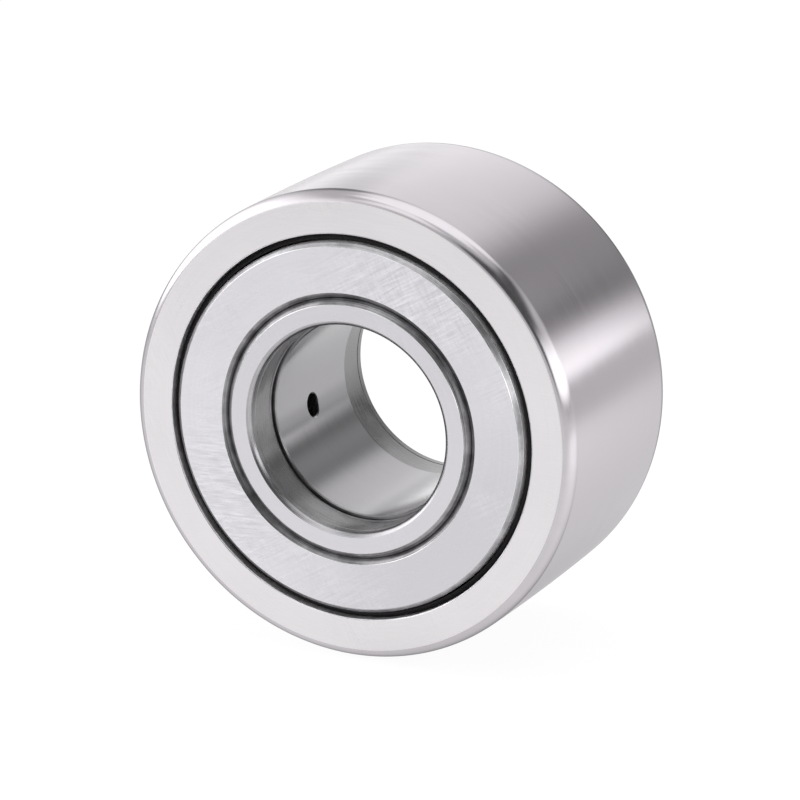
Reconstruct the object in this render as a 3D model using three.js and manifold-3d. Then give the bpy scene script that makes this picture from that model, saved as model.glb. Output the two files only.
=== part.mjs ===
// Yoke-type track roller, the cam follower that is carried on a pin: a thick-walled outer ring turns on
// a caged set of needle rollers round an inner ring, between two side washers pressed onto its ends.
//
// Millimetres. The roller's axis is Y, its front face looks along -Y, and +Z is up from its centre.
// Every ring is a turned section revolved about Y, and is the same on both sides of the plane y = 0.

import * as THREE from "three";
import { mergeVertices } from "three/addons/utils/BufferGeometryUtils.js";
import Module from "manifold-3d";

// Main dimensions of the roller
const BORE_RADIUS = 10;
const TREAD_RADIUS = 23.5;
const INNER_WIDTH = 25;
const OUTER_WIDTH = 24;

// Needle set
const NEEDLE_COUNT = 20;
const NEEDLE_RADIUS = 1.5;
const NEEDLE_LENGTH = 13.8;
const NEEDLE_CHAMFER = 0.25;
const PITCH_RADIUS = 14.5;
const RACE_CLEARANCE = 0.02;
const INNER_RACE_RADIUS = PITCH_RADIUS - NEEDLE_RADIUS - RACE_CLEARANCE;
const OUTER_RACE_RADIUS = PITCH_RADIUS + NEEDLE_RADIUS + RACE_CLEARANCE;

// Outer ring: a slightly crowned tread with rounded edges, and a recess for the washer and seal at each end
const CROWN_RADIUS = 500;
const TREAD_CORNER_RADIAL = 1.1;
const TREAD_CORNER_AXIAL = 1.5;
const RECESS_RADIUS = 19.25;
const RECESS_DEPTH = 4.5;
const RECESS_CHAMFER = 0.1;
const RACE_EDGE = 0.3;

// Inner ring: its bore is relieved at both ends, so that the washers' press fit can't close it on the pin
const INNER_EDGE_CHAMFER = 0.58;
const BORE_LEAD_RADIAL = 0.45;
const BORE_LEAD_AXIAL = 0.6;
const RELIEF_RADIUS = 10.35;
const RELIEF_DEPTH = 4.85;
const RELIEF_STEP = 0.15;
const OIL_HOLE_RADIUS = 1.2;
const OIL_HOLE_ANGLE = THREE.MathUtils.degToRad(192);

// Side washers
const WASHER_RADIUS = 18.5;
const WASHER_SET_BACK = 0.1;
const WASHER_THICKNESS = 4;
const WASHER_EDGE = 0.42;
const WASHER_BORE_EDGE = 0.55;
const PRESS_GAP = 0.05;

// Seal rings: an L-section of plastic, a thrust web behind the washer and a lip round the washer's edge.
// The lip's end has a narrow land next to the washer, and slopes down from there to the recess wall.
const SEAL_WEB_THICKNESS = 0.7;
const SEAL_WEB_INNER_RADIUS = 16.4;
const SEAL_LIP_INNER_RADIUS = 18.65;
const SEAL_LIP_RECESS = 0.5;
const SEAL_LIP_LAND = 0.1;
const SEAL_LIP_SLOPE = 0.4;

// Cage: a ring with one window for each needle
const CAGE_INNER_RADIUS = 13.35;
const CAGE_OUTER_RADIUS = 15.65;
const CAGE_END_GAP = 0.2;
const WINDOW_CLEARANCE = 0.1;

// Fineness of the round shapes: a multiple of 12, so that rings line up again at every twelfth of a turn
const RING_SEGMENTS = 72;
const NEEDLE_SEGMENTS = 12;
const HOLE_SEGMENTS = 16;
const CORNER_STEPS = 3;

const WASHER_OUTER_FACE = INNER_WIDTH / 2 - WASHER_SET_BACK;
const WASHER_INNER_FACE = WASHER_OUTER_FACE - WASHER_THICKNESS;
const RECESS_FLOOR = OUTER_WIDTH / 2 - RECESS_DEPTH;

const COLOURS = {
  rings: { color: 0xc9c9c9, roughness: 0.3, metalness: 1 },
  washers: { color: 0xcfcfcf, roughness: 0.35, metalness: 1 },
  needles: { color: 0xd9d9d9, roughness: 0.15, metalness: 1 },
  cage: { color: 0x9a9a98, roughness: 0.45, metalness: 1 },
  seals: { color: 0x151515, roughness: 0.6, metalness: 0 },
};

const wasm = await Module();
wasm.setup();

// A part of an ellipse in the (radius, y) section. Angle 0 points away from the axis.
function arc(centreRadius, centreY, radial, axial, fromAngle, toAngle, steps) {
  return Array.from({ length: steps + 1 }, (_, i) => {
    const angle = fromAngle + ((toAngle - fromAngle) * i) / steps;
    return [centreRadius + radial * Math.cos(angle), centreY + axial * Math.sin(angle)];
  });
}

// The closed section of a ring that is alike on both sides of y = 0, from the half above it.
// The half runs up the outside and down the inside, so that the faces point out.
function mirrored(half) {
  const lower = half
    .filter(([, y]) => y !== 0)
    .map(([radius, y]) => [radius, -y])
    .reverse();
  return [...half, ...lower, half[0]];
}

// The section of the same ring at the other end of the roller.
function flipped(section) {
  return section.map(([radius, y]) => [radius, -y]).reverse();
}

function revolve(section, segments = RING_SEGMENTS) {
  const points = section.map(([radius, y]) => new THREE.Vector2(radius, y));
  return new THREE.LatheGeometry(points, segments);
}

function solidOf(geometry) {
  const bare = geometry.clone();
  bare.deleteAttribute("normal");
  bare.deleteAttribute("uv");
  const merged = mergeVertices(bare, 1e-4);
  return new wasm.Manifold(
    new wasm.Mesh({
      numProp: 3,
      vertProperties: merged.attributes.position.array,
      triVerts: new Uint32Array(merged.index.array),
    }),
  );
}

function geometryOf(solid) {
  const mesh = solid.getMesh();
  const geometry = new THREE.BufferGeometry();
  geometry.setAttribute("position", new THREE.BufferAttribute(mesh.vertProperties, 3));
  geometry.setIndex(new THREE.BufferAttribute(mesh.triVerts, 1));
  geometry.computeVertexNormals();
  return geometry;
}

function outerRing() {
  const halfWidth = OUTER_WIDTH / 2;
  const crownEdge = halfWidth - TREAD_CORNER_AXIAL;
  const crownAt = (y) => TREAD_RADIUS - CROWN_RADIUS + Math.sqrt(CROWN_RADIUS ** 2 - y ** 2);
  const cornerCentre = crownAt(crownEdge) - TREAD_CORNER_RADIAL;
  const half = [
    [TREAD_RADIUS, 0],
    [crownAt(crownEdge / 2), crownEdge / 2],
    ...arc(cornerCentre, crownEdge, TREAD_CORNER_RADIAL, TREAD_CORNER_AXIAL, 0, Math.PI / 2, CORNER_STEPS),
    [RECESS_RADIUS + RECESS_CHAMFER, halfWidth],
    [RECESS_RADIUS, halfWidth - RECESS_CHAMFER],
    [RECESS_RADIUS, RECESS_FLOOR],
    [OUTER_RACE_RADIUS + RACE_EDGE, RECESS_FLOOR],
    [OUTER_RACE_RADIUS, RECESS_FLOOR - RACE_EDGE],
  ];
  return revolve(mirrored(half));
}

function innerRing() {
  const halfWidth = INNER_WIDTH / 2;
  const leadCentre = halfWidth - BORE_LEAD_AXIAL;
  const faceRadius = RELIEF_RADIUS + BORE_LEAD_RADIAL;
  const reliefEnd = halfWidth - RELIEF_DEPTH;
  const half = [
    [INNER_RACE_RADIUS, halfWidth - INNER_EDGE_CHAMFER],
    [INNER_RACE_RADIUS - INNER_EDGE_CHAMFER, halfWidth],
    ...arc(faceRadius, leadCentre, BORE_LEAD_RADIAL, BORE_LEAD_AXIAL, Math.PI / 2, Math.PI, CORNER_STEPS),
    [RELIEF_RADIUS, reliefEnd],
    [BORE_RADIUS + RELIEF_STEP, reliefEnd],
    [BORE_RADIUS, reliefEnd - RELIEF_STEP],
  ];
  const ring = solidOf(revolve(mirrored(half)));
  return geometryOf(ring.subtract(solidOf(oilHole())));
}

// A radial plug that starts inside the bore and ends outside the raceway.
function oilHole() {
  const length = INNER_RACE_RADIUS;
  const plug = new THREE.CylinderGeometry(OIL_HOLE_RADIUS, OIL_HOLE_RADIUS, length, HOLE_SEGMENTS);
  plug.translate(0, BORE_RADIUS / 2 + length / 2, 0);
  plug.rotateZ(-Math.PI / 2);
  plug.rotateY(-OIL_HOLE_ANGLE);
  return plug;
}

// The washer at the +Y end.
function sideWasherSection() {
  const boreRadius = INNER_RACE_RADIUS + PRESS_GAP;
  return [
    [WASHER_RADIUS, WASHER_INNER_FACE + WASHER_EDGE],
    [WASHER_RADIUS, WASHER_OUTER_FACE - WASHER_EDGE],
    [WASHER_RADIUS - WASHER_EDGE, WASHER_OUTER_FACE],
    [boreRadius + WASHER_BORE_EDGE, WASHER_OUTER_FACE],
    [boreRadius, WASHER_OUTER_FACE - WASHER_BORE_EDGE],
    [boreRadius, WASHER_INNER_FACE],
    [WASHER_RADIUS - WASHER_EDGE, WASHER_INNER_FACE],
    [WASHER_RADIUS, WASHER_INNER_FACE + WASHER_EDGE],
  ];
}

// The seal ring at the +Y end: it turns with the outer ring, clear of the washer.
function sealRingSection() {
  const outerRadius = RECESS_RADIUS - PRESS_GAP;
  const webInner = RECESS_FLOOR + PRESS_GAP;
  const webOuter = webInner + SEAL_WEB_THICKNESS;
  const lipEnd = OUTER_WIDTH / 2 - SEAL_LIP_RECESS;
  return [
    [outerRadius, webInner],
    [outerRadius, lipEnd - SEAL_LIP_SLOPE],
    [SEAL_LIP_INNER_RADIUS + SEAL_LIP_LAND, lipEnd],
    [SEAL_LIP_INNER_RADIUS, lipEnd],
    [SEAL_LIP_INNER_RADIUS, webOuter],
    [SEAL_WEB_INNER_RADIUS, webOuter],
    [SEAL_WEB_INNER_RADIUS, webInner],
    [outerRadius, webInner],
  ];
}

function needleCage() {
  const halfWidth = WASHER_INNER_FACE - CAGE_END_GAP;
  const half = [
    [CAGE_OUTER_RADIUS, halfWidth],
    [CAGE_INNER_RADIUS, halfWidth],
  ];
  const side = 2 * (NEEDLE_RADIUS + WINDOW_CLEARANCE);
  const length = NEEDLE_LENGTH + 2 * WINDOW_CLEARANCE;
  const depth = 2 * (CAGE_OUTER_RADIUS - CAGE_INNER_RADIUS);
  let cage = solidOf(revolve(mirrored(half)));
  for (let i = 0; i < NEEDLE_COUNT; i++) {
    const window = new THREE.BoxGeometry(side, length, depth);
    window.translate(0, 0, PITCH_RADIUS);
    window.rotateY(needleAngle(i));
    cage = cage.subtract(solidOf(window));
  }
  return geometryOf(cage);
}

function needle() {
  const half = NEEDLE_LENGTH / 2;
  const section = [
    [0, -half],
    [NEEDLE_RADIUS - NEEDLE_CHAMFER, -half],
    [NEEDLE_RADIUS, -half + NEEDLE_CHAMFER],
    [NEEDLE_RADIUS, half - NEEDLE_CHAMFER],
    [NEEDLE_RADIUS - NEEDLE_CHAMFER, half],
    [0, half],
  ];
  return revolve(section, NEEDLE_SEGMENTS);
}

// Needles are counted from the top, turning towards +X.
function needleAngle(index) {
  return (2 * Math.PI * index) / NEEDLE_COUNT;
}

const roller = new THREE.Group();

function addPiece(name, geometry, look) {
  const mesh = new THREE.Mesh(geometry, new THREE.MeshStandardMaterial(COLOURS[look]));
  mesh.name = name;
  roller.add(mesh);
  return mesh;
}

addPiece("outer_ring", outerRing(), "rings");
addPiece("inner_ring", innerRing(), "rings");
addPiece("back_side_washer", revolve(sideWasherSection()), "washers");
addPiece("front_side_washer", revolve(flipped(sideWasherSection())), "washers");
addPiece("back_seal_ring", revolve(sealRingSection()), "seals");
addPiece("front_seal_ring", revolve(flipped(sealRingSection())), "seals");
addPiece("needle_cage", needleCage(), "cage");
for (let i = 0; i < NEEDLE_COUNT; i++) {
  const mesh = addPiece("needle_" + String(i + 1).padStart(2, "0"), needle(), "needles");
  const angle = needleAngle(i);
  mesh.position.set(PITCH_RADIUS * Math.sin(angle), 0, PITCH_RADIUS * Math.cos(angle));
}

export default roller;
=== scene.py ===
"""The looks of a yoke-type track roller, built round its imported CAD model.

Metres in Blender. Sections are written in millimetres, as (radius, y, finish) points: the finish is that of
the wall that leads from the point to the next one. The roller's axis is Y. Its front face looks along -Y.
"""

import math

import bmesh
import bpy
from mathutils import Matrix, Vector


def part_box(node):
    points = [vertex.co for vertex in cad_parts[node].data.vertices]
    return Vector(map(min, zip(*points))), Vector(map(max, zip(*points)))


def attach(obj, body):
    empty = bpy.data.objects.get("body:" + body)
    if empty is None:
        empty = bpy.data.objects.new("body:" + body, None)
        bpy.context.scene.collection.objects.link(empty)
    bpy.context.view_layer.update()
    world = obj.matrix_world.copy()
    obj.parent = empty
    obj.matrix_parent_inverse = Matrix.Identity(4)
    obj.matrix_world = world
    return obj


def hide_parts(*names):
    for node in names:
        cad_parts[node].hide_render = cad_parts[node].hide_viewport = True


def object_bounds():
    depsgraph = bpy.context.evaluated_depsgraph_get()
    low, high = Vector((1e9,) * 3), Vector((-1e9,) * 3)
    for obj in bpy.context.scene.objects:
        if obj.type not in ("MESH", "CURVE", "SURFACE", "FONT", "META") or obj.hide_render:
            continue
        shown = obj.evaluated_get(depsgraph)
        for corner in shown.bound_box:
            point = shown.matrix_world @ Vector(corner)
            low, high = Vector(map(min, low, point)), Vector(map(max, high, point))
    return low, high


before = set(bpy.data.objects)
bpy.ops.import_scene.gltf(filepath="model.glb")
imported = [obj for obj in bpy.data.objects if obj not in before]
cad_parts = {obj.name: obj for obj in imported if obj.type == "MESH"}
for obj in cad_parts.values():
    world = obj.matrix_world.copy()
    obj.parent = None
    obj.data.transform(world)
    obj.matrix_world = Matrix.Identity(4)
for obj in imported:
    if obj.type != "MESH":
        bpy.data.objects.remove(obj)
cad_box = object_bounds()

MM = 0.001

# The view: the camera looks at the middle of the roller, from its right and above
CAMERA_AZIMUTH = 25.4
CAMERA_ELEVATION = 16.6
CAMERA_DISTANCE = 399.4 * MM
CAMERA_LENS = 182.0
SENSOR_WIDTH = 36.0
CLIP_START = 0.01
CLIP_END = 50
AIM_RIGHT = -0.15 * MM
AIM_UP = -0.3 * MM

# The studio. Each light or flag: azimuth from +Y and elevation of its centre and half its size, in degrees,
# softness of its edge, brightness
WALL_LEVEL = 0.72
TOP_LEVEL = 1.5
TOP_FADE = (63, 71)
STUDIO = (
    ((95, 25), (87, 31), 0.1, 0.1),        # dark room at the right, as far as behind the camera
    ((60, 26), (40, 12.5), 0.6, 0.78),     # grey flag over the side light
    ((-16, -22), (30, 44), 0.6, 2.0),      # pale backdrop
    ((-95, -4), (55, 47), 0.3, 2.5),       # soft box at the left
    ((-33, 29), (7, 15), 0.6, 0.28),       # dark gap between backdrop and left soft box
    ((-165, 48), (17, 20), 0.45, 1.4),     # pale reflector above the camera
    ((3, 3), (15, 15), 0.4, 0.34),         # dark screen straight behind the roller
    ((4, 80), (53, 45), 0.15, TOP_LEVEL),  # soft box overhead, leaning to the back
)

# The floor's brightness in reflections, by distance from the roller, with one patch lit and one in shadow.
# Places in millimetres. The camera sees the floor in its own plain shade
FLOOR_HALF_SIZE = 6.0
FLOOR_NEAR = 0.9
FLOOR_FAR = 0.72
FLOOR_FADE = (120, 240)
FLOOR_LIT = 0.5
FLOOR_LIT_CENTRE = (130, 30)
FLOOR_LIT_SIZE = (70, 75)
CONTACT_DARKENING = 0.2
CONTACT_CENTRE = (8, 12)
CONTACT_SIZE = (11, 26)
FLOOR_DIFFUSE = 0.1
FLOOR_DIFFUSE_SEEN = 0.08
FLOOR_GLOW_SEEN = 0.94

# The light card at the right of the roller, in millimetres. It is dimmed towards its ends, its foot and its
# top. The top is dimmed from a lower place on its back part than on its front part
CARD_X = 72
CARD_FRONT = -105
CARD_BACK = 140
CARD_HEIGHT = 63
CARD_LEVEL = 2.7
CARD_FRONT_FADE = (-98, -42)
CARD_BACK_FADE = (100, 138)
CARD_FOOT_FADE = (0, 14)
CARD_PARTS_MEET = (25, 60)
CARD_FRONT_PART_FADE = (20, 52)
CARD_FRONT_PART_LEVEL = 0.8
CARD_BACK_PART_FADE = (-6, 58)

# Fineness of the meshes
RING_SEGMENTS = 240
NEEDLE_SEGMENTS = 48
OIL_HOLE_SEGMENTS = 48
ARC_STEPS = 6
CROWN_STEPS = 5
TREAD_CORNER_STEPS = 14
CORNER_POINTS_IN_FACE = 2  # the last points of the tread's corner, ground with the face
CAGE_STEPS = 6
SHARP_ANGLE = math.radians(28)
BEVEL_ANGLE = math.radians(60)
ON_AXIS = 1e-6
HOLD = 0.02  # a short wall that keeps the shading of a wide one flat, in millimetres

# Shapes that the CAD boxes don't give, in millimetres
CROWN_RADIUS = 500
TREAD_CORNER_RADIAL = 1.1
TREAD_CORNER_AXIAL = 1.5
RECESS_DEPTH = 4.5
RECESS_EDGE = 0.07
RECESS_FILLET = 0.2
OUTER_RACE_RADIUS = 16.02
RACE_CHAMFER_RADIAL = 0.35
RACE_CHAMFER_AXIAL = 0.3
BORE_RADIUS = 10.0
BORE_STEP_CHAMFER = 0.12
INNER_CHAMFER = 0.56
DOME_ANGLES = (27, 63)
FACE_BREAK = 0.04
PRESS_GAP = 0.05
BORE_LEAD = 0.44
RELIEF_RADIUS = 10.37
RELIEF_DEPTH = 4.85
UNDERCUT_DEPTH = 0.2
UNDERCUT_WIDTH = 0.22
UNDERCUT_FLANK = 0.06
OIL_HOLE_RADIUS = 1.18
OIL_HOLE_ANGLE = math.radians(192)
OIL_HOLE_BAND = 2.0
OIL_HOLE_COUNTERSINK = 0.05
CUTTER_MARGIN = 1
WASHER_BORE_GAP = 0.03
WASHER_BORE_CHAMFER = 0.52
WASHER_EDGE = 0.42
WASHER_BACK_CHAMFER = 0.3
SEAL_LIP_INNER_RADIUS = 18.65
SEAL_LIP_LAND = 0.1
SEAL_LIP_SLOPE = 0.4
SEAL_WEB_INNER_RADIUS = 16.4
SEAL_WEB_THICKNESS = 0.7
CAGE_INNER_RADIUS = 13.35
CAGE_EDGE = 0.12
NEEDLE_PITCH_RADIUS = 14.5
WINDOW_LENGTH = 14.0
WINDOW_HALF_WIDTH = 1.6
WINDOW_HALF_ANGLE = math.asin(WINDOW_HALF_WIDTH / NEEDLE_PITCH_RADIUS)
NEEDLE_END_RADIUS = 0.3

# V-shaped lines turned in the bore's relieved ends: distance of the middle from the face, half width, depth
LEAD_LINE = (1.18, 0.08, 0.09)
RELIEF_LINE = (4.37, 0.1, 0.12)


# ---------------------------------------------------------------- sections


def arc(centre_radius, centre_y, radial, axial, start, end, finish, steps=ARC_STEPS):
    """Points along an ellipse of the section between two angles. Angle 0 points away from the axis."""
    points = []
    for i in range(steps + 1):
        a = math.radians(start + (end - start) * i / steps)
        points.append((centre_radius + radial * math.cos(a), centre_y + axial * math.sin(a), finish))
    return points


def domed_chamfer(face_radius, face_y, size, side, finish):
    """A slightly domed chamfer at a face. side is 1 on the outside of a ring and -1 in its bore."""
    low, high = DOME_ANGLES
    shallow, steep = math.radians(high), math.radians(low)
    dome = size / (math.sin(shallow) - math.sin(steep))
    centre = face_radius - side * dome * math.cos(shallow), face_y - dome * math.sin(shallow)
    start, end = (low, high) if side == 1 else (180 - high, 180 - low)
    return arc(*centre, dome, dome, start, end, finish)


def turned_line(face_y, from_face, half_width, depth):
    """A V-shaped line in the relieved bore."""
    middle = face_y - from_face
    return [(RELIEF_RADIUS, middle + half_width, "chamfer"),
            (RELIEF_RADIUS + depth, middle, "chamfer"),
            (RELIEF_RADIUS, middle - half_width, "relieved_bore")]


def with_finish(points, finish):
    """The same points, the last one with the finish of the wall that follows it."""
    return points[:-1] + [(points[-1][0], points[-1][1], finish)]


def mirrored(half):
    """The closed section of a ring that is alike on both sides of y = 0, from its half above."""
    lower = []
    for i in reversed(range(len(half))):
        radius, y, _ = half[i]
        if y:
            lower.append((radius, -y, half[max(i - 1, 0)][2]))
    return half + lower


def flipped(section):
    """The section of the same ring at the other end of the roller."""
    return [(section[i][0], -section[i][1], section[i - 1][2]) for i in reversed(range(len(section)))]


# ---------------------------------------------------------------- meshes


def mesh_of(name, bm):
    """A mesh made of a bmesh, which is used up."""
    mesh = bpy.data.meshes.new(name)
    bm.to_mesh(mesh)
    bm.free()
    return mesh


def linked(name, data):
    """A new object in the scene."""
    made = bpy.data.objects.new(name, data)
    bpy.context.scene.collection.objects.link(made)
    return made


def shade_by_angle(mesh):
    mesh.shade_smooth()
    mesh.set_sharp_from_angle(angle=SHARP_ANGLE)


def new_piece(name, bm, finishes, body, node):
    """Turns a bmesh into a piece that stands for a CAD node. finishes are its materials, by face index."""
    mesh = mesh_of(name, bm)
    piece = linked(name, mesh)
    for finish in finishes:
        mesh.materials.append(MATERIALS[finish])
    shade_by_angle(mesh)
    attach(piece, body)
    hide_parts(node)
    return piece


def revolve(section, segments=RING_SEGMENTS, centre=(0, 0)):
    """A bmesh of a closed section turned round the Y axis or a line parallel to it, and its finishes."""
    finishes = sorted({finish for _, _, finish in section})
    bm = bmesh.new()
    rings = []
    for radius, y, _ in section:
        if radius < ON_AXIS:
            rings.append([bm.verts.new((centre[0] * MM, y * MM, centre[1] * MM))] * segments)
            continue
        ring = []
        for s in range(segments):
            a = 2 * math.pi * s / segments
            x, z = centre[0] + radius * math.cos(a), centre[1] + radius * math.sin(a)
            ring.append(bm.verts.new((x * MM, y * MM, z * MM)))
        rings.append(ring)
    for i, ring in enumerate(rings):
        follower = (i + 1) % len(rings)
        after = rings[follower]
        if section[i][0] < ON_AXIS and section[follower][0] < ON_AXIS:
            continue
        for s in range(segments):
            t = (s + 1) % segments
            corners = [ring[s], ring[t], after[t], after[s]]
            face = bm.faces.new(list(dict.fromkeys(corners)))
            face.material_index = finishes.index(section[i][2])
    bmesh.ops.recalc_face_normals(bm, faces=bm.faces)
    return bm, finishes


def millimetres(node):
    """The CAD node's box as outer radius and lowest and highest y, in millimetres."""
    low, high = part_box(node)
    return high[0] / MM, low[1] / MM, high[1] / MM


# ---------------------------------------------------------------- pieces


def outer_ring():
    """The crowned tread, its rounded edges, and at each end the recess that takes seal and side washer."""
    tread_radius, _, half_width = millimetres("outer_ring")
    crown_edge = half_width - TREAD_CORNER_AXIAL

    def crown(y):
        return tread_radius - CROWN_RADIUS + math.sqrt(CROWN_RADIUS**2 - y**2)

    floor_y = half_width - RECESS_DEPTH
    corner_centre = crown(crown_edge) - TREAD_CORNER_RADIAL
    corner = arc(corner_centre, crown_edge, TREAD_CORNER_RADIAL, TREAD_CORNER_AXIAL, 0, 90, "polished_edge",
                 TREAD_CORNER_STEPS)
    recess_radius = millimetres("back_seal_ring")[0] + PRESS_GAP
    face_inner = recess_radius + RECESS_EDGE
    levels = [crown_edge * k / CROWN_STEPS for k in range(CROWN_STEPS)] + [crown_edge - HOLD]
    half = [(crown(y), y, "ground_tread") for y in levels]
    half += corner[:-CORNER_POINTS_IN_FACE]
    half += [(radius, y, "ring_face") for radius, y, _ in corner[-CORNER_POINTS_IN_FACE:]]
    half += [
        (corner[-1][0] - HOLD, half_width, "ring_face"),
        (face_inner + FACE_BREAK, half_width, "bright_edge"),
        (face_inner, half_width - FACE_BREAK, "recess_wall"),
        (recess_radius, half_width - RECESS_EDGE, "recess_wall"),
        (recess_radius, floor_y + RECESS_FILLET, "recess_wall"),
        (recess_radius - RECESS_FILLET, floor_y, "recess_wall"),
        (OUTER_RACE_RADIUS + RACE_CHAMFER_RADIAL, floor_y, "bright_edge"),
        (OUTER_RACE_RADIUS, floor_y - RACE_CHAMFER_AXIAL, "ground_tread"),
    ]
    bm, finishes = revolve(mirrored(half))
    new_piece("outer_ring_fine", bm, finishes, "outer_set", "outer_ring")


def inner_ring():
    """The ring with the bore. Its half section runs over the end face and in through the relieved bore."""
    race_radius, _, half_width = millimetres("inner_ring")
    face_outer = race_radius - INNER_CHAMFER
    relief_end = half_width - RELIEF_DEPTH
    chamfer_arc = domed_chamfer(face_outer, half_width - FACE_BREAK, INNER_CHAMFER, 1, "chamfer")
    lead_arc = domed_chamfer(RELIEF_RADIUS + BORE_LEAD, half_width, BORE_LEAD, -1, "bore_mouth")
    half = with_finish(chamfer_arc, "bright_edge")
    half += [
        (face_outer - FACE_BREAK, half_width, "collar_face"),
        (lead_arc[0][0] + HOLD, half_width, "collar_face"),
    ]
    half += with_finish(lead_arc, "relieved_bore")
    half += turned_line(half_width, *LEAD_LINE)
    half += turned_line(half_width, *RELIEF_LINE)
    half += [
        (RELIEF_RADIUS, relief_end + UNDERCUT_WIDTH, "chamfer"),
        (RELIEF_RADIUS + UNDERCUT_DEPTH, relief_end + UNDERCUT_WIDTH - UNDERCUT_FLANK, "chamfer"),
        (RELIEF_RADIUS + UNDERCUT_DEPTH, relief_end, "chamfer"),
        (BORE_RADIUS + BORE_STEP_CHAMFER, relief_end, "turned_steel"),
        (BORE_RADIUS, relief_end - BORE_STEP_CHAMFER, "ground_bore"),
        (BORE_RADIUS, OIL_HOLE_BAND, "ground_bore"),
    ]
    bm, finishes = revolve(mirrored(half))
    ring = new_piece("inner_ring_fine", bm, finishes, "inner_set", "inner_ring")
    drill_oil_hole(ring, race_radius)


def drill_oil_hole(ring, race_radius):
    """Cuts the radial hole, with a small countersink where it opens into the bore."""
    start, end = BORE_RADIUS - CUTTER_MARGIN, race_radius + CUTTER_MARGIN
    section = [
        (0, start, ""),
        (OIL_HOLE_RADIUS + CUTTER_MARGIN + OIL_HOLE_COUNTERSINK, start, ""),
        (OIL_HOLE_RADIUS, BORE_RADIUS + OIL_HOLE_COUNTERSINK, ""),
        (OIL_HOLE_RADIUS, end, ""),
        (0, end, ""),
    ]
    bm, _ = revolve(section, OIL_HOLE_SEGMENTS)
    turn = Matrix.Rotation(-OIL_HOLE_ANGLE, 4, "Y") @ Matrix.Rotation(-math.pi / 2, 4, "Z")
    bmesh.ops.transform(bm, matrix=turn, verts=bm.verts)
    cutter = linked("oil_hole_cutter", mesh_of("oil_hole_cutter", bm))
    cut = ring.modifiers.new("oil_hole", "BOOLEAN")
    cut.operation = "DIFFERENCE"
    cut.solver = "EXACT"
    cut.object = cutter
    evaluated = ring.evaluated_get(bpy.context.evaluated_depsgraph_get())
    drilled = bpy.data.meshes.new_from_object(evaluated)
    ring.modifiers.clear()
    ring.data = drilled
    bpy.data.objects.remove(cutter)
    shade_by_angle(drilled)


def side_washer_section():
    """The washer at the +Y end."""
    washer_radius, inner_face, outer_face = millimetres("back_side_washer")
    bore = millimetres("inner_ring")[0] + WASHER_BORE_GAP
    flat_outer = washer_radius - WASHER_EDGE
    side_end = outer_face - WASHER_EDGE
    flat_inner = bore + WASHER_BORE_CHAMFER
    section = [
        (washer_radius, inner_face + WASHER_BACK_CHAMFER, "washer_side"),
        (washer_radius, side_end - FACE_BREAK, "bright_edge"),
        (washer_radius - FACE_BREAK, side_end + FACE_BREAK, "washer_edge"),
        (flat_outer, outer_face - FACE_BREAK, "bright_edge"),
        (flat_outer - FACE_BREAK, outer_face, "scratched_face"),
        (flat_inner + FACE_BREAK, outer_face, "bright_edge"),
    ]
    section += domed_chamfer(flat_inner, outer_face - FACE_BREAK, WASHER_BORE_CHAMFER, -1, "chamfer")
    section += [
        (bore, inner_face, "ring_face"),
        (washer_radius - WASHER_BACK_CHAMFER, inner_face, "turned_steel"),
    ]
    return section


def seal_ring_section():
    """The seal at the +Y end: a thrust web, and a lip with a rounded edge in the gap round the washer."""
    outer_radius, web_inner, lip_end = millimetres("back_seal_ring")
    web_outer = web_inner + SEAL_WEB_THICKNESS
    section = [
        (outer_radius, web_inner, "seal_plastic"),
        (outer_radius, lip_end - SEAL_LIP_SLOPE, "seal_plastic"),
    ]
    lip_centre = SEAL_LIP_INNER_RADIUS + SEAL_LIP_LAND, lip_end - SEAL_LIP_LAND
    section += arc(*lip_centre, SEAL_LIP_LAND, SEAL_LIP_LAND, 60, 180, "seal_plastic")
    section += [
        (SEAL_LIP_INNER_RADIUS, web_outer, "seal_plastic"),
        (SEAL_WEB_INNER_RADIUS, web_outer, "seal_plastic"),
        (SEAL_WEB_INNER_RADIUS, web_inner, "seal_plastic"),
    ]
    return section


def end_rings(kind, section, body):
    """One ring at each end of the roller, the front one the mirror image of the back one."""
    for end, own_section in (("back", section), ("front", flipped(section))):
        bm, finishes = revolve(own_section)
        new_piece(f"{end}_{kind}_fine", bm, finishes, body, f"{end}_{kind}")


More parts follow.
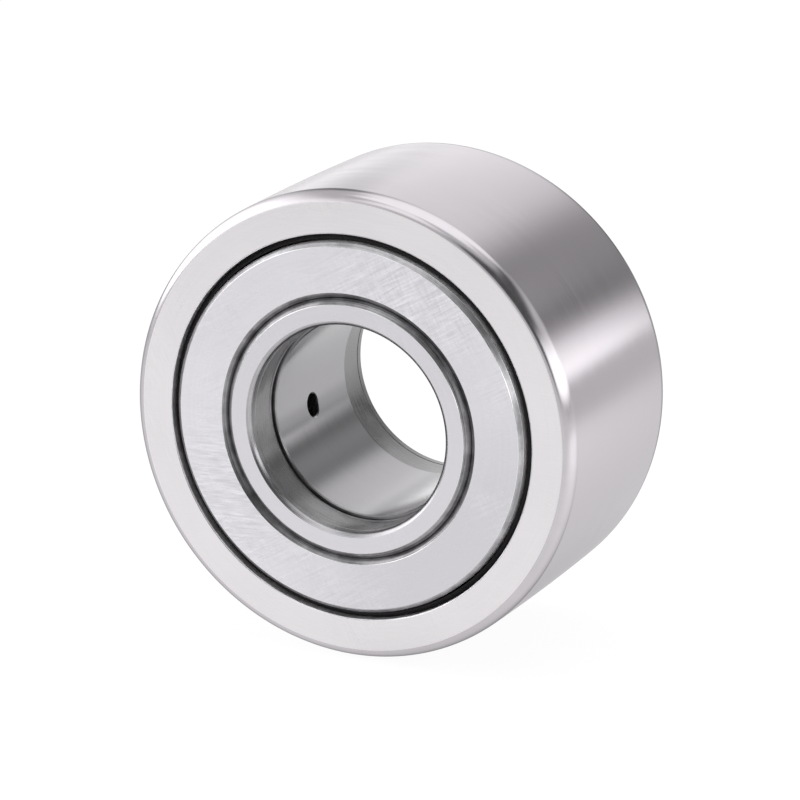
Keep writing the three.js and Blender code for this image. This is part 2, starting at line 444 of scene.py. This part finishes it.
def needle_cage():
    """A thin ring with a window for each needle, made of bars between two end rings."""
    outer_radius, _, half_width = millimetres("needle_cage")
    pitch = 2 * math.pi / len(NEEDLES)
    window = 2 * WINDOW_HALF_ANGLE
    bar = pitch - window
    half_window = WINDOW_LENGTH / 2
    turns = []
    for n in range(len(NEEDLES)):
        turns += [n * pitch - WINDOW_HALF_ANGLE + window * k / CAGE_STEPS for k in range(CAGE_STEPS)]
        turns += [n * pitch + WINDOW_HALF_ANGLE + bar * k / CAGE_STEPS for k in range(CAGE_STEPS)]
    levels = [-half_width, -half_window, half_window, half_width]
    bands = len(levels) - 1
    bm = bmesh.new()
    grid = {}
    for i, a in enumerate(turns):
        for j, y in enumerate(levels):
            for k, radius in enumerate((CAGE_INNER_RADIUS, outer_radius)):
                grid[i, j, k] = bm.verts.new((radius * math.sin(a) * MM, y * MM, radius * math.cos(a) * MM))

    def solid(i, j):
        in_window = (i % len(turns)) % (2 * CAGE_STEPS) < CAGE_STEPS
        return 0 <= j < bands and not (j == 1 and in_window)

    for i in range(len(turns)):
        after = (i + 1) % len(turns)
        for j in range(bands):
            if not solid(i, j):
                continue
            up = j + 1
            walls = [((i, j, k), (after, j, k), (after, up, k), (i, up, k)) for k in (0, 1)]
            if not solid(i, j - 1):
                walls.append(((i, j, 0), (after, j, 0), (after, j, 1), (i, j, 1)))
            if not solid(i, up):
                walls.append(((i, up, 0), (after, up, 0), (after, up, 1), (i, up, 1)))
            if not solid(i - 1, j):
                walls.append(((i, j, 0), (i, up, 0), (i, up, 1), (i, j, 1)))
            if not solid(i + 1, j):
                walls.append(((after, j, 0), (after, up, 0), (after, up, 1), (after, j, 1)))
            for wall in walls:
                bm.faces.new([grid[corner] for corner in wall])
    bmesh.ops.recalc_face_normals(bm, faces=bm.faces)
    edges = [edge for edge in bm.edges if edge.calc_face_angle(0) > BEVEL_ANGLE]
    bmesh.ops.bevel(bm, geom=edges, offset=CAGE_EDGE * MM, segments=2, profile=0.5, affect="EDGES")
    new_piece("needle_cage_fine", bm, ["cage_steel"], "cage", "needle_cage")


def needles():
    for node in NEEDLES:
        low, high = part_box(node)
        centre = ((low[0] + high[0]) / 2 / MM, (low[2] + high[2]) / 2 / MM)
        radius = (high[0] - low[0]) / 2 / MM
        half_length = high[1] / MM
        end = NEEDLE_END_RADIUS
        rim = arc(radius - end, half_length - end, end, end, 0, 90, "needle_steel")
        section = mirrored(rim + [(0, half_length, "needle_steel")])
        bm, finishes = revolve(section, NEEDLE_SEGMENTS, centre)
        new_piece(node + "_fine", bm, finishes, node + "_body", node)


# ---------------------------------------------------------------- node graphs


class Graph:
    """A short way to write a graph of nodes. Most methods return the socket that the next one reads."""

    def __init__(self, tree):
        self.tree = tree

    def node(self, kind, settings=(), **inputs):
        """A node of any kind. An input goes by its name, or by its place as i0, i1 and so on."""
        made = self.tree.nodes.new("ShaderNode" + kind)
        for key, value in dict(settings).items():
            setattr(made, key, value)
        for key, value in inputs.items():
            by_place = key[0] == "i" and key[1:].isdigit()
            socket = made.inputs[int(key[1:]) if by_place else key.replace("_", " ")]
            if isinstance(value, bpy.types.NodeSocket):
                self.tree.links.new(value, socket)
            else:
                socket.default_value = value
        return made

    def math(self, operation, a, b=0.0):
        return self.node("Math", {"operation": operation}, i0=a, i1=b).outputs[0]

    def plus(self, a, b):
        return self.math("ADD", a, b)

    def minus(self, a, b):
        return self.math("SUBTRACT", a, b)

    def times(self, a, b):
        return self.math("MULTIPLY", a, b)

    def length(self, a, b):
        return self.math("SQRT", self.plus(self.times(a, a), self.times(b, b)))

    def smooth(self, value, low, high, to_low=0.0, to_high=1.0):
        """Goes smoothly from to_low to to_high while the value goes from low to high."""
        made = self.node("MapRange", {"interpolation_type": "SMOOTHSTEP"}, Value=value,
                         From_Min=low, From_Max=high, To_Min=to_low, To_Max=to_high)
        return made.outputs[0]

    def spread(self, noise, low, high):
        """Spreads a noise, which lies about 0.5, over the range from low to high."""
        return self.smooth(noise, 0.3, 0.7, low, high)

    def mix(self, factor, a, b):
        return self.node("Mix", {"data_type": "FLOAT"}, i0=factor, i2=a, i3=b).outputs[0]

    def combine(self, x, y, z):
        return self.node("CombineXYZ", i0=x, i1=y, i2=z).outputs[0]

    def scaled(self, *pairs):
        """A vector of three values, each times its own factor."""
        return self.combine(*[self.times(value, factor) for value, factor in pairs])

    def noise(self, vector, scale, detail=2.0, roughness=0.5):
        made = self.node("TexNoise", Vector=vector, Scale=scale, Detail=detail, Roughness=roughness)
        return made.outputs[0]

    def cloud(self, x, z, scale, layer):
        """Broad soft noise over a face. layer picks one of many such patterns."""
        return self.noise(self.combine(x, layer, z), scale)

    def spot(self, across, up, centre, half_size, softness):
        """1 inside a soft-edged ellipse of a plane, 0 outside it."""
        a = self.math("DIVIDE", self.minus(across, centre[0]), half_size[0])
        b = self.math("DIVIDE", self.minus(up, centre[1]), half_size[1])
        return self.smooth(self.length(a, b), 1 - softness, 1 + softness, 1.0, 0.0)

    def brushed(self, x, z, angle, length, width):
        """Short straight brush marks at one angle, as a height or a shade about 0.5."""
        c, s = math.cos(math.radians(angle)), math.sin(math.radians(angle))
        along = self.plus(self.times(x, c / length), self.times(z, s / length))
        across = self.minus(self.times(z, c / width), self.times(x, s / width))
        layer = angle * 0.37  # each angle gets marks of its own
        return self.noise(self.combine(along, across, layer), scale=1.0, roughness=0.6)

    def object_millimetres(self):
        """The place on the piece as made, in millimetres: a vector, its x, y and z, and the radius."""
        coordinates = self.node("TexCoord").outputs["Object"]
        place = self.node("VectorMath", {"operation": "SCALE"}, Vector=coordinates, Scale=1 / MM).outputs[0]
        x, y, z = self.node("SeparateXYZ", Vector=place).outputs
        return place, x, y, z, self.length(x, z)


def empty_material(name):
    """A material and its graph, with no node in it yet."""
    material = bpy.data.materials.new(name)
    material.use_nodes = True
    material.node_tree.nodes.clear()
    return material, Graph(material.node_tree)


# ---------------------------------------------------------------- materials


def steel(name, colour, roughness, anisotropic=0.0, edge_tint=1.0):
    """A metal shader, plain until drive and tint are called. If anisotropic, its lines run round the axis."""
    material, g = empty_material(name)
    shader = g.node("BsdfPrincipled", Metallic=1.0, Roughness=roughness, Anisotropic=anisotropic,
                    Base_Color=(*colour, 1), Specular_Tint=(edge_tint, edge_tint, edge_tint, 1),
                    Anisotropic_Rotation=0.25)
    if anisotropic:
        tangent = g.node("Tangent", {"direction_type": "RADIAL", "axis": "Y"})
        g.tree.links.new(tangent.outputs[0], shader.inputs["Tangent"])
    g.node("OutputMaterial", Surface=shader.outputs[0])
    return material, g, shader


def drive(g, shader, roughness, height, bump, distance):
    """Links patterns to the shader: roughness, and a bump of a distance in millimetres."""
    g.tree.links.new(roughness, shader.inputs["Roughness"])
    made = g.node("Bump", Strength=bump, Distance=distance * MM, Height=height)
    g.tree.links.new(made.outputs[0], shader.inputs["Normal"])


def tint(g, shader, pattern, colour, dark, light):
    """Links a pattern to the shader's colour, from dark to light times the colour."""
    ends = [(*[min(1.0, c * factor) for c in colour], 1) for factor in (dark, light)]
    mixed = g.node("Mix", {"data_type": "RGBA"}, i0=pattern, i6=ends[0], i7=ends[1])
    g.tree.links.new(mixed.outputs[2], shader.inputs["Base Color"])


def ground_tread():
    """Cylindrical grinding: fine lines round the roller."""
    colour = (0.525, 0.495, 0.522)
    material, g, shader = steel("ground_tread", colour, roughness=0.2, anisotropic=0.8, edge_tint=0.86)
    _, x, y, z, _ = g.object_millimetres()
    lines = g.noise(g.scaled((x, 0.03), (y, 9.0), (z, 0.03)), scale=1.0, detail=4.0, roughness=0.7)
    patches = g.noise(g.scaled((x, 0.12), (y, 0.35), (z, 0.12)), scale=1.0)
    roughness = g.plus(g.spread(lines, 0.16, 0.21), g.smooth(patches, 0.35, 0.7, 0.0, 0.012))
    drive(g, shader, roughness, lines, bump=0.05, distance=0.004)
    tint(g, shader, lines, colour, dark=0.94, light=1.05)
    return material


def ground_bore():
    """Ground like the tread, but smoother and darker."""
    colour = (0.355, 0.347, 0.359)
    material, g, shader = steel("ground_bore", colour, roughness=0.12, anisotropic=0.8)
    _, x, y, z, _ = g.object_millimetres()
    lines = g.noise(g.scaled((x, 0.05), (y, 7.0), (z, 0.05)), scale=1.0, detail=4.0, roughness=0.7)
    drive(g, shader, g.spread(lines, 0.17, 0.2), lines, bump=0.02, distance=0.004)
    tint(g, shader, lines, colour, dark=0.95, light=1.03)
    return material


def relieved_bore():
    """The turned and polished ends of the bore, with tool lines and handling marks."""
    colour = (0.25, 0.245, 0.25)
    material, g, shader = steel("relieved_bore", colour, roughness=0.25)
    place, x, y, z, _ = g.object_millimetres()
    lines = g.noise(g.scaled((x, 0.1), (y, 5.0), (z, 0.1)), scale=1.0, detail=4.0, roughness=0.7)
    stains = g.noise(place, scale=0.35, detail=3.0)
    roughness = g.plus(g.spread(lines, 0.18, 0.28), g.smooth(stains, 0.4, 0.7, 0.0, 0.12))
    drive(g, shader, roughness, lines, bump=0.12, distance=0.006)
    tint(g, shader, stains, colour, dark=0.75, light=1.2)
    return material


def tool_lines(name, colour, low, high, contrast=0.22):
    """Edges as turned: tool lines round the axis, rubbed lighter in places. low and high are roughness."""
    material, g, shader = steel(name, colour, (low + high) / 2)
    place, x, y, _, radius = g.object_millimetres()
    lines = g.noise(g.scaled((radius, 8.0), (y, 8.0), (x, 0.1)), scale=1.0, detail=3.0, roughness=0.7)
    rubbed = g.noise(place, scale=0.6, detail=3.0, roughness=0.6)
    shade = g.smooth(g.plus(g.times(lines, 0.6), g.times(rubbed, 0.4)), 0.36, 0.62)
    drive(g, shader, g.spread(lines, low, high), lines, bump=0.25, distance=0.01)
    tint(g, shader, shade, colour, 1 - contrast, 1 + contrast)
    return material


def turned_steel():
    return tool_lines("turned_steel", (0.36, 0.355, 0.36), low=0.24, high=0.4)


def chamfer():
    return tool_lines("chamfer", (0.27, 0.265, 0.275), low=0.26, high=0.42, contrast=0.42)


def washer_edge():
    return tool_lines("washer_edge", (0.41, 0.405, 0.42), low=0.28, high=0.42, contrast=0.34)


def washer_side():
    return tool_lines("washer_side", (0.7, 0.69, 0.7), low=0.5, high=0.7)


def recess_wall():
    return tool_lines("recess_wall", (0.75, 0.735, 0.755), low=0.5, high=0.65)


def bore_mouth():
    return tool_lines("bore_mouth", (0.46, 0.45, 0.47), low=0.24, high=0.32, contrast=0.12)


def polished_edge():
    """The tumbled, polished rounding of the tread's edges."""
    colour = (0.575, 0.55, 0.575)
    material, g, shader = steel("polished_edge", colour, roughness=0.18, edge_tint=0.45)
    place, x, y, _, radius = g.object_millimetres()
    lines = g.noise(g.scaled((radius, 4.0), (y, 4.0), (x, 0.1)), scale=1.0, detail=3.0, roughness=0.6)
    waves = g.noise(place, scale=0.5)
    roughness = g.plus(g.spread(lines, 0.16, 0.2), g.smooth(waves, 0.45, 0.7, 0.0, 0.03))
    drive(g, shader, roughness, lines, bump=0.08, distance=0.005)
    tint(g, shader, waves, colour, dark=0.95, light=1.04)
    return material


def bright_edge():
    """The thin worn line where a face meets a chamfer."""
    colour = (0.8, 0.79, 0.8)
    material, g, shader = steel("bright_edge", colour, roughness=0.2)
    nicks = g.noise(g.object_millimetres()[0], scale=2.0, detail=3.0)
    drive(g, shader, g.smooth(nicks, 0.35, 0.7, 0.14, 0.32), nicks, bump=0.3, distance=0.01)
    tint(g, shader, nicks, colour, dark=0.7, light=1.15)
    return material


def lapping(g, x, z, radius):
    """Faint marks of the face grinding: the streaks alone, and a pattern of streaks, arcs and patches."""
    stretched = g.combine(g.times(x, 0.35), g.times(z, 6.0), 3.0)
    streaks = g.noise(stretched, scale=1.0, detail=3.0, roughness=0.6)
    arcs = g.noise(g.scaled((radius, 5.0), (x, 0.15), (z, 0.15)), scale=1.0, detail=3.0)
    broad = g.cloud(x, z, scale=0.12, layer=2.0)
    lines = g.plus(g.times(streaks, 0.3), g.times(arcs, 0.3))
    return streaks, g.plus(lines, g.times(broad, 0.4))


def ground_face(name, colour):
    """An end face as ground, with brush marks in a few patches."""
    material, g, shader = steel(name, colour, roughness=0.3)
    _, x, _, z, radius = g.object_millimetres()
    streaks, pattern = lapping(g, x, z, radius)
    patches = g.smooth(g.cloud(x, z, scale=0.14, layer=9.0), 0.5, 0.68)
    marks = g.times(g.minus(g.brushed(x, z, angle=-64, length=1.8, width=0.16), 0.5), patches)
    height = g.plus(g.times(streaks, 0.4), marks)
    drive(g, shader, g.smooth(pattern, 0.35, 0.65, 0.27, 0.34), height, bump=0.07, distance=0.006)
    tint(g, shader, g.plus(pattern, g.times(marks, 0.8)), colour, dark=0.9, light=1.1)
    return material


def ring_face():
    return ground_face("ring_face", (0.765, 0.74, 0.76))


def collar_face():
    return ground_face("collar_face", (0.665, 0.65, 0.68))


def scratched_face():
    """The side washers: ground like the other faces, with brush marks that are strongest in two patches."""
    colour = (0.735, 0.72, 0.755)
    material, g, shader = steel("scratched_face", colour, roughness=0.3)
    _, x, _, z, radius = g.object_millimetres()
    streaks, pattern = lapping(g, x, z, radius)
    rising = g.brushed(x, z, angle=30, length=3.4, width=0.26)
    crossing = g.brushed(x, z, angle=118, length=1.6, width=0.26)
    level = g.brushed(x, z, angle=4, length=2.2, width=0.24)
    upper = g.spot(x, z, (7, 14), (8, 5), softness=0.7)
    lower = g.spot(x, z, (-13, -8), (5, 7), softness=0.7)
    others = g.smooth(g.cloud(x, z, scale=0.13, layer=5.0), 0.5, 0.7, 0.06, 0.5)
    crossed = g.minus(g.plus(rising, g.times(crossing, 0.5)), 0.75)
    marks = g.times(crossed, g.math("MAXIMUM", upper, others))
    marks = g.plus(marks, g.times(g.minus(level, 0.5), lower))
    # painted shade: the washer's colour is darker towards its lower right
    lower_right_shade = g.times(g.spot(x, z, (11, -11), (14, 14), softness=0.9), 0.55)
    roughness = g.plus(g.spread(streaks, 0.27, 0.33), g.times(marks, -0.12))
    drive(g, shader, roughness, g.plus(g.times(streaks, 0.1), marks), bump=0.15, distance=0.01)
    tint(g, shader, g.minus(g.plus(pattern, g.times(marks, 2.6)), lower_right_shade), colour, dark=0.86, light=1.12)
    return material


def seal_plastic():
    """Black moulded plastic with a fine grain."""
    material, g = empty_material("seal_plastic")
    shader = g.node("BsdfPrincipled", Metallic=0.0, Roughness=0.5, Specular_IOR_Level=0.15,
                    Base_Color=(0.014, 0.013, 0.014, 1))
    grain = g.noise(g.object_millimetres()[0], scale=6.0, detail=3.0)
    drive(g, shader, g.spread(grain, 0.42, 0.62), grain, bump=0.3, distance=0.01)
    g.node("OutputMaterial", Surface=shader.outputs[0])
    return material


def cage_steel():
    """Plain steel with a fine grain."""
    colour = (0.42, 0.42, 0.41)
    material, g, shader = steel("cage_steel", colour, roughness=0.4)
    grain = g.noise(g.object_millimetres()[0], scale=3.0, detail=4.0)
    drive(g, shader, g.spread(grain, 0.32, 0.5), grain, bump=0.3, distance=0.01)
    tint(g, shader, grain, colour, dark=0.82, light=1.08)
    return material


def needle_steel():
    """Smooth bearing steel, with fine lines round each needle."""
    colour = (0.7, 0.7, 0.71)
    material, g, shader = steel("needle_steel", colour, roughness=0.1)
    _, x, y, z, _ = g.object_millimetres()
    lines = g.noise(g.scaled((x, 0.5), (y, 10.0), (z, 0.5)), scale=1.0, detail=3.0)
    drive(g, shader, g.spread(lines, 0.06, 0.14), lines, bump=0.1, distance=0.003)
    tint(g, shader, lines, colour, dark=0.82, light=1.08)
    return material


# ---------------------------------------------------------------- stage


def place_on_stage(name, bm, material):
    """Turns a bmesh into an object of the studio, which isn't part of the roller."""
    mesh = mesh_of(name, bm)
    mesh.materials.append(material)
    made = linked(name, mesh)
    return made


def pale_floor():
    """The floor's material: one shade for the camera, and a pattern of light for everything else."""
    material, g = empty_material("pale_floor")
    _, x, y, _, _ = g.object_millimetres()
    glow = g.smooth(g.length(x, y), *FLOOR_FADE, FLOOR_NEAR, FLOOR_FAR)
    lit = g.spot(x, y, FLOOR_LIT_CENTRE, FLOOR_LIT_SIZE, softness=0.7)
    glow = g.plus(glow, g.times(lit, FLOOR_LIT))
    contact = g.spot(x, y, CONTACT_CENTRE, CONTACT_SIZE, softness=0.6)
    glow = g.times(glow, g.minus(1.0, g.times(contact, CONTACT_DARKENING)))
    seen = g.node("LightPath").outputs["Is Camera Ray"]
    diffuse = g.node("BsdfDiffuse", Color=g.mix(seen, FLOOR_DIFFUSE, FLOOR_DIFFUSE_SEEN))
    shine = g.node("Emission", Strength=g.mix(seen, glow, FLOOR_GLOW_SEEN))
    both = g.node("AddShader", i0=diffuse.outputs[0], i1=shine.outputs[0])
    g.node("OutputMaterial", Surface=both.outputs[0])
    return material


def floor():
    """A wide floor that the tread stands on. It looks white, and the steel sees it lit from the right."""
    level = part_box("outer_ring")[0][2]
    bm = bmesh.new()
    bmesh.ops.create_grid(bm, x_segments=1, y_segments=1, size=FLOOR_HALF_SIZE)
    bmesh.ops.translate(bm, vec=(0, 0, level), verts=bm.verts)
    place_on_stage("floor", bm, pale_floor())


def card_light():
    """The card's material: light that fades out towards the edges, where the card is clear."""
    material, g = empty_material("side_light")
    _, _, y, z, _ = g.object_millimetres()
    ends = g.times(g.smooth(y, *CARD_FRONT_FADE), g.smooth(y, *CARD_BACK_FADE, 1.0, 0.0))
    front_part = g.smooth(z, *CARD_FRONT_PART_FADE, CARD_FRONT_PART_LEVEL, 0.0)
    back_part = g.smooth(z, *CARD_BACK_PART_FADE, 1.0, 0.0)
    top = g.mix(g.smooth(y, *CARD_PARTS_MEET), front_part, back_part)
    glow = g.times(ends, g.times(g.smooth(z, *CARD_FOOT_FADE), top))
    shine = g.node("Emission", Strength=g.times(glow, CARD_LEVEL))
    clear = g.node("BsdfTransparent")
    density = g.math("MINIMUM", g.times(glow, 2.0), 1.0)
    solid = g.node("MixShader", i0=density, i1=clear.outputs[0], i2=shine.outputs[0])
    g.node("OutputMaterial", Surface=solid.outputs[0])
    return material


def side_light():
    """A long soft light close to the right of the roller, seen only in reflections."""
    bm = bmesh.new()
    corners = ((CARD_FRONT, 0), (CARD_BACK, 0), (CARD_BACK, CARD_HEIGHT), (CARD_FRONT, CARD_HEIGHT))
    bm.faces.new([bm.verts.new((CARD_X * MM, y * MM, z * MM)) for y, z in corners])
    light = place_on_stage("side_light", bm, card_light())
    light.visible_camera = False
    light.visible_shadow = False


def studio():
    """The room: brightness by direction, from the table STUDIO. The camera sees it plain white."""
    world = bpy.data.worlds.new("studio")
    bpy.context.scene.world = world
    world.use_nodes = True
    world.node_tree.nodes.clear()
    g = Graph(world.node_tree)
    direction = g.node("TexCoord").outputs["Generated"]
    x, y, z = g.node("SeparateXYZ", Vector=direction).outputs
    azimuth = g.times(g.math("ARCTAN2", x, y), 180 / math.pi)
    elevation = g.times(g.math("ARCSINE", z), 180 / math.pi)
    level = WALL_LEVEL
    for centre, half_size, softness, brightness in STUDIO:
        away = g.minus(azimuth, centre[0])
        turned = g.node("Math", {"operation": "WRAP"}, i0=away, i1=180.0, i2=-180.0).outputs[0]
        inside = g.spot(turned, elevation, (0, centre[1]), half_size, softness)
        level = g.mix(inside, level, brightness)
    level = g.mix(g.smooth(elevation, *TOP_FADE), level, TOP_LEVEL)
    seen = g.mix(g.node("LightPath").outputs["Is Camera Ray"], level, 1.0)
    background = g.node("Background", Color=(1, 1, 1, 1), Strength=seen)
    g.node("OutputWorld", Surface=background.outputs[0])


def camera():
    """The camera at its azimuth and elevation round the middle of the roller."""
    data = bpy.data.cameras.new("camera")
    data.lens = CAMERA_LENS
    data.sensor_width = SENSOR_WIDTH
    data.clip_start = CLIP_START
    data.clip_end = CLIP_END
    made = linked("camera", data)
    a, e = math.radians(CAMERA_AZIMUTH), math.radians(CAMERA_ELEVATION)
    back = Vector((math.sin(a) * math.cos(e), -math.cos(a) * math.cos(e), math.sin(e)))
    turn = (-back).to_track_quat("-Z", "Y")
    middle = (cad_box[0] + cad_box[1]) / 2
    aim = middle + turn @ Vector((AIM_RIGHT, AIM_UP, 0))
    made.location = aim + back * CAMERA_DISTANCE
    made.rotation_mode = "QUATERNION"
    made.rotation_quaternion = turn
    bpy.context.scene.camera = made


# ---------------------------------------------------------------- the roller

NEEDLES = sorted(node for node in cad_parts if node.startswith("needle_") and node != "needle_cage")
FINISHES = (
    ground_tread, ground_bore, relieved_bore, turned_steel, chamfer, washer_edge, washer_side, recess_wall,
    bore_mouth, polished_edge, bright_edge, ring_face, collar_face, scratched_face, seal_plastic, cage_steel,
    needle_steel,
)
MATERIALS = {finish.__name__: finish() for finish in FINISHES}

bpy.context.scene.view_settings.view_transform = "Standard"
camera()
studio()
floor()
side_light()
outer_ring()
inner_ring()
end_rings("side_washer", side_washer_section(), "inner_set")
end_rings("seal_ring", seal_ring_section(), "outer_set")
needle_cage()
needles()
